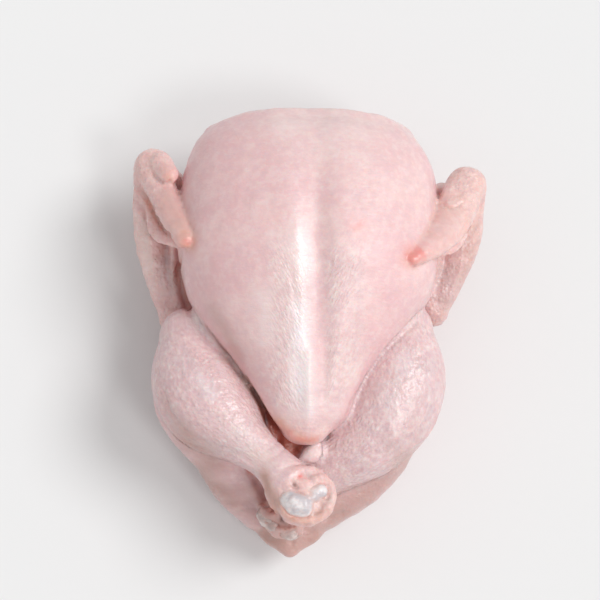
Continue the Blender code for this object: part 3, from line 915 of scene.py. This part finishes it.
def skin_material():
    shader = Shader("moist skin")
    place = shader.place()
    grain = shader.node("ShaderNodeAttribute", {"attribute_name": "grain"}, output="Vector")
    blush_and_painted_shade, cream_and_painted_light, slate_and_painted_shade, amber = map(shader.stain, ("blush_and_painted_shade", "cream_and_painted_light", "slate_and_painted_shade", "amber"))
    flesh, tan_and_painted_shade, rose, dark = map(shader.stain, ("flesh", "tan_and_painted_shade", "rose", "dark"))
    rows, pebbles, painted_highlight, wet, soaked = map(shader.stain, ("rows", "pebbles", "painted_highlight", "wet", "soaked"))
    clouds = shader.noise(place, 38).stretched(0.35, 0.68)
    patches = shader.noise(place, 95, 4).stretched(0.38, 0.66)
    specks = shader.noise(place, 420, 3).stretched(0.45, 0.75)
    soft = shader.noise(grain, 1.3, 1.5).stretched(0.3, 0.72)
    pits = shader.cells(grain, 1.0, 0.75)
    bumps = pits.stretched(0.6, 0.0) * 0.45 + soft * 0.55
    strong = shader.noise(place, 70, 2).stretched(0.35, 0.6, 0.35, 1.0)

    mottle = shader.noise(place, 240, 4, 0.6)
    pale = mottle.stretched(0.51, 0.6) * (0.2 + rows * 0.5 + pebbles * 0.3)
    lilac = mottle.stretched(0.49, 0.39) * (0.15 + rows * 0.4 + pebbles * 0.35)
    dusk = shader.noise(place, 64, 4).stretched(0.5, 0.62)
    beads = shader.cells(place, 430, 0.9).stretched(0.65, 0.0)
    meat = shader.mix((0.68, 0.18, 0.13), (0.80, 0.27, 0.19), patches)
    layers = (
        ((0.78, 0.50, 0.50), patches * 0.4),
        ((0.90, 0.77, 0.74), pale),
        ((0.64, 0.46, 0.50), lilac),
        ((0.62, 0.42, 0.42), dusk * rows * 0.5),
        # Pink blush, partly painted shade.
        ((0.84, 0.48, 0.50), blush_and_painted_shade * (0.55 + patches * 0.45)),
        # Cream, partly painted highlight and painted light.
        ((0.91, 0.79, 0.77), cream_and_painted_light * (0.7 + clouds * 0.3)),
        # Grey-lilac, partly painted shade.
        ((0.60, 0.52, 0.56), slate_and_painted_shade * (0.55 + patches * 0.45)),
        ((0.78, 0.42, 0.31), amber * (0.65 + patches * 0.35)),
        # Lighter on the tops of the feather-pit bumps and darker between them: the skin's own streaks, with
        # painted highlights on the tops and painted shade in the pits.
        ((0.91, 0.77, 0.74), rows * bumps * 0.5),
        ((0.70, 0.41, 0.41), rows * (1 - bumps) * 0.32),
        ((0.72, 0.40, 0.38), specks * 0.10),
        # Tan, partly painted shade.
        ((0.52, 0.31, 0.27), tan_and_painted_shade * (0.75 + clouds * 0.25)),
        ((0.88, 0.74, 0.68), pebbles * beads * 0.15),
        ((0.80, 0.24, 0.22), rose),
        # Painted highlights.
        ((0.93, 0.86, 0.88), painted_highlight * (0.6 + patches * 0.4)),
        (meat, flesh),
        # Near black: painted shade.
        ((0.16, 0.06, 0.045), dark),
    )
    base = shader.mix((0.81, 0.55, 0.56), (0.87, 0.64, 0.625), clouds)

    wrinkles = shader.noise(shader.scaled(place, (150, 560, 300)), 1.0, 3)
    fine = shader.noise(place, 1500, 2)
    height = rows * bumps * strong * 0.6 + pebbles * beads * 0.6 + wrinkles * 0.45 + fine * 0.12
    return shader.finish(
        Base_Color=shader.layered(base, layers),
        Roughness=0.48 - wet * 0.19 - soaked * 0.06 + specks * 0.08 + patches * 0.05,
        Subsurface_Weight=0.25,
        Subsurface_Radius=(1.0, 0.35, 0.22),
        Subsurface_Scale=0.004,
        Specular_IOR_Level=0.6,
        Coat_Weight=0.03 + wet * 0.17 + soaked * 0.2,
        Coat_Roughness=0.2,
        Normal=shader.bump(height, 0.0007, 1.0),
    )


def gristle_material(side):
    shader = Shader(side + " wet gristle")
    place = shader.place()
    clouds = shader.noise(place, 160).stretched(0.4, 0.65)
    streaks = shader.noise(shader.scaled(place, (300, 500, 500)), 1.0, 3).stretched(0.4, 0.7)
    dark, light, tinge, _, blend = GRISTLE_LOOKS[side]
    colour = shader.mix(dark, light, clouds)
    colour = shader.mix(colour, (0.60, 0.36, 0.32), (0.2 + streaks * 0.8) * tinge)
    colour = shader.mix(colour, (0.80, 0.50, 0.44), shader.stain("seam") * (0.5 + streaks * 0.5) * blend)
    return shader.finish(
        Base_Color=colour,
        Roughness=0.32 + clouds * 0.12,
        Subsurface_Weight=0.2,
        Subsurface_Radius=(1.0, 0.6, 0.5),
        Subsurface_Scale=0.003,
        Coat_Weight=0.35,
        Coat_Roughness=0.15,
        Normal=shader.bump(streaks, 0.0003, 0.3),
    )


def floor_material():
    shader = Shader("pale matt table")
    shade = shader.noise(shader.place(), 6).stretched(0.2, 0.8, 0.0, 0.02)
    return shader.finish(
        Base_Color=shader.mix((0.82, 0.82, 0.82), (0.79, 0.79, 0.79), shade), Roughness=0.9
    )


# The bird


def leg_axis(side):
    """A smooth line through the middle of the drumstick, from the knee to its end."""
    steps = np.array((KNEE[side], *SHANK[side]), float)
    knots = np.concatenate([[0], np.cumsum(np.linalg.norm(np.diff(steps, axis=0), axis=1))])
    return through(knots, steps, np.linspace(0, knots[-1], 40))


def around_route(places, route):
    """Each point's share of the way along the route, how far that is, and how far round it the point lies."""
    along = to_route(places, route)[1]
    length = np.linalg.norm(np.diff(route, axis=0), axis=1).sum()
    centre = through(np.linspace(0, 1, len(route)), route, along)
    forward = through(np.linspace(0, 1, len(route)), np.gradient(route, axis=0), along)
    across, over = frames(forward)
    away = places - centre
    angle = np.arctan2((away * across).sum(axis=1), (away * over).sum(axis=1))
    return along, along * length, angle * LEG_GIRTH


def mark(skin):
    """The ridges, creases and stains that are placed by the photograph."""
    for pixels, width, height in MARKS:
        skin.push(height * skin.near(pixels, width))
    for name, routes in STAINS.items():
        for pixels, width, strength in routes:
            skin.stain(name, strength * skin.near(pixels, width))


def nearest_of(skin, forms):
    """How far each point of the skin lies from the nearest of the forms, up to REACH."""
    distance = np.full(len(skin.places), REACH)
    for form in forms:
        distance = np.minimum(distance, skin.from_form(form))
    return distance


def regions_of(skin):
    """How far each point belongs to each region, from 0 to 1, and the grain that its feather pits follow."""
    places = skin.places
    x, y, z = places.T
    up = skin.start_normals[:, 2]
    grain = places / PIT_SPACING

    legs = {side: skin.from_form(leg_forms(side)[1]) for side in SIDES}
    hollow = nearest_of(skin, [hollow_form(), *tubes(FLESH)])
    fold = skin.from_form(limb_form(*INNER_FOLD))
    slit = smooth_step(1.6, 0.6, skin.from_form(limb_form(*SLIT)))
    off_legs = smooth_step(1.5, 3.0, np.minimum(np.minimum(legs["left"], legs["right"]), fold))
    flesh = smooth_step(2.2, 1.0, hollow) * off_legs * smooth_step(-82, -74, y)

    # The upper arm lies against the body, so the wing's own skin starts beyond it.
    wing = nearest_of(skin, wing_forms("left", -1)[1:] + wing_forms("right", 1)[1:])
    outward = np.abs(x) + np.clip(z - 75, 0, 30) * 0.8
    on_wing = smooth_step(3.0, 1.5, wing) * smooth_step(64, 72, outward)
    ends = nearest_of(skin, tubes(LEG_END_SKIN))
    on_end = smooth_step(4.0, 1.0, ends)

    # Along a drumstick the pits run in rows round it.
    on_leg = np.zeros(len(places))
    for side in SIDES:
        mask = smooth_step(3.5, 1.5, legs[side]) * smooth_step(30, 42, z)
        along, length, turn = around_route(places, leg_axis(side))
        laid = np.stack([length / 3.6 + turn / 9, turn / 2.6, np.zeros(len(places))], 1)
        grain = np.where((mask > 0.5)[:, None], laid, grain)
        on_leg = np.maximum(on_leg, mask * smooth_step(0.96, 0.65, along))

    # On the breast they run away from the keel at 30 degrees to it, in a strip on each side.
    keel = np.abs(x - KEEL_X)
    front = smooth_step(0.2, 0.5, up) * smooth_step(-62, -45, y) * smooth_step(75, 90, z)
    on_breast = front * (1 - on_leg)
    down = 0.5 * keel + 0.87 * y
    laid = np.stack([down / 4.4, (0.87 * keel - 0.5 * y) / 1.7, np.sign(x - KEEL_X)], 1)
    grain = np.where((on_breast > 0.5)[:, None], laid, grain)
    tract = smooth_step(3, 9, keel) * smooth_step(30, 18, keel) * smooth_step(48, 20, y) * on_breast
    on = SimpleNamespace(flesh=flesh, slit=slit, wing=on_wing, end=on_end, leg=on_leg)
    on.front, on.breast, on.tract = front, on_breast, tract
    return on, grain


def stain_regions(skin, on):
    """The stains that follow the regions, and how high and how far left a point lies. Several paint shade: on
    the low, downturned and left sides, in the slit and along the drumsticks' borders.
    """
    x, y, z = skin.places.T
    up = skin.start_normals[:, 2]
    bare = 1 - on.flesh
    edge = (4 * on.leg * (1 - on.leg)) ** 4
    inner = 1 - 4 * on.front * (1 - on.front) * (1 - on.leg)
    skin.stain("flesh", np.maximum(on.flesh, 0.6 * on.slit * smooth_step(-36, -50, y)))
    # Tan and near black inside the slit: painted shade.
    skin.stain("tan_and_painted_shade", on.slit)
    skin.stain("dark", 0.3 * on.slit)
    rows = (0.2 + 0.8 * on.leg) * (1 - on.breast) + 0.1 * on.breast + 0.8 * on.tract
    skin.stain("rows", rows * inner * bare)
    # Blush on the low parts, on the sides that turn down and on the left side, away from the lamps: painted
    # shade.
    left, low = smooth_step(0, -60, x), smooth_step(50, 15, z)
    skin.stain("blush_and_painted_shade", 0.3 * low + 0.35 * smooth_step(0.6, 0.1, up) * bare + 0.4 * left)
    skin.stain("cream_and_painted_light", 0.35 * on.tract)
    # Slate low down is painted shade, darker towards the table; on the upper sides of the drumsticks it is
    # their grey-lilac tone.
    skin.stain("slate_and_painted_shade", 0.25 * smooth_step(60, 30, z) * bare + 0.35 * on.leg * smooth_step(0, 0.3, up))
    skin.stain("amber", 0.35 * on.wing + 0.3 * on.end)
    dry_front = smooth_step(-62, -45, y) * smooth_step(75, 90, z) * (1 - on.leg) * (1 - on.wing)
    skin.stain("wet", (1 - 0.85 * dry_front) * (1 - 0.5 * on.end) * (1 - 4 * on.leg * (1 - on.leg)))
    # Painted shade along the border of each drumstick, where it meets the body.
    skin.stain("slate_and_painted_shade", 0.3 * np.sqrt(edge) * smooth_step(45, 55, z))
    # Painted shade: darker towards the table.
    skin.stain("tan_and_painted_shade", 0.25 * smooth_step(45, 10, z) * bare)
    skin.stain("pebbles", (0.3 + 0.5 * on.wing) * bare * (1 - on.breast) * (1 - edge))


def shape_regions(skin, on, grain):
    """The relief that follows the regions: soft lumps, crumpled leg ends and folds at the neck, with painted
    shade in the hollows of the leg ends.
    """
    places = skin.places
    y, z = places[:, 1], places[:, 2]
    skin.push(0.3 * waves(places, 18, 3) * (1 - on.flesh) + 1.6 * waves(places, 10, 4) * on.flesh)
    right_end = on.end * smooth_step(66, 60, z)
    crumpled = waves(places, 6, 6)
    ridged = 0.5 - np.abs(waves(places, 7, 12))
    skin.push(0.35 * waves(places, 5, 5) * on.wing + (0.4 * on.end + 0.8 * right_end) * crumpled)
    skin.push(0.7 * on.end * ridged)
    # Near black in the troughs of the ridges at the leg ends: painted shade.
    skin.stain("dark", 0.5 * on.end * smooth_step(-0.2, -0.45, ridged))
    skin.stain("flesh", 0.4 * right_end * smooth_step(-0.1, -0.4, crumpled))
    # Near black in the hollows of the crumpled right leg end: painted shade.
    skin.stain("dark", 0.6 * right_end * smooth_step(-0.2, -0.5, crumpled))
    skin.stain("tan_and_painted_shade", 0.6 * right_end)
    skin.push(0.22 * waves(grain, 1.5, 7, octaves=2) * on.leg)
    skin.push(0.3 * waves(places, 9, 10) * (1 - on.breast) * (1 - on.leg))
    neck = smooth_step(96, 112, y) * smooth_step(88, 70, z)
    skin.push(0.9 * neck * waves(places * (0.6, 1.0, 1.5), 11, 11, octaves=2))


def skin_of_bird():
    """The whole skin with its relief and stains, and how far it was moved to the origin."""
    skin = Skin(fused_bird())
    on, grain = regions_of(skin)
    stain_regions(skin, on)
    shape_regions(skin, on, grain)
    mark(skin)
    # The bird stands on the table, so nothing of its back goes below it.
    skin.places[:, 2] = np.maximum(skin.places[:, 2], 0)
    mesh = skin.finished()
    layer = mesh.attributes.new("grain", "FLOAT_VECTOR", "POINT")
    layer.data.foreach_set("vector", grain.astype(np.float32).ravel())
    bird = object_of("chicken_skin", thinned(mesh, SKIN_TRIANGLES))
    return bird, skin.corner


def polygons_of(mesh):
    """The points, in millimetres, and the faces of a mesh."""
    return [v.co / MM for v in mesh.vertices], [tuple(face.vertices) for face in mesh.polygons]


def thinned(mesh, triangles):
    obj = object_of("thin", mesh)
    mesh.calc_loop_triangles()
    decimate = obj.modifiers.new("thin", "DECIMATE")
    decimate.ratio = triangles / len(mesh.loop_triangles)
    decimate.use_collapse_triangulate = True
    thin = evaluated_mesh(obj)
    thin.shade_smooth()
    return thin


def dressed(piece, material, node):
    """The piece takes the place of a solid, with its finish."""
    piece.data.materials.clear()
    piece.data.materials.append(material)
    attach(piece, "root")
    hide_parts(node)


def make_floor():
    bpy.ops.mesh.primitive_plane_add(size=FLOOR_SIDE, location=(0, 0, 0))
    floor = bpy.context.object
    floor.name = "table_top"
    floor.data.materials.append(floor_material())


def make_camera():
    data = bpy.data.cameras.new("camera")
    data.lens = CAMERA_LENS
    data.sensor_width = CAMERA_SENSOR
    data.shift_x, data.shift_y = CAMERA_SHIFT
    camera = object_of("camera", data)
    camera.matrix_world = camera_matrix()
    bpy.context.scene.camera = camera


def make_light(name, place, spread, power):
    """A large soft lamp far away, in the direction of place. Spread is how wide it looks, in degrees."""
    data = bpy.data.lights.new(name, "SUN")
    data.angle = math.radians(spread)
    data.energy = power
    light = object_of(name, data)
    light.location = place
    light.rotation_euler = (-Vector(place)).to_track_quat("-Z", "Y").to_euler()


def make_room():
    world = bpy.data.worlds.new("studio")
    world.use_nodes = True
    inputs = world.node_tree.nodes["Background"].inputs
    inputs["Color"].default_value = (1, 1, 1, 1)
    inputs["Strength"].default_value = ROOM_LIGHT
    bpy.context.scene.world = world
    for light in LIGHTS:
        make_light(*light)
    bpy.context.scene.view_settings.view_transform = "Standard"


make_camera()
make_room()
make_floor()
bird, corner = skin_of_bird()
dressed(bird, skin_material(), "carcass")
for side in SIDES:
    piece = object_of(side + "_gristle", gristle_mesh(side, bird, corner))
    dressed(piece, gristle_material(side), side + "_hock")
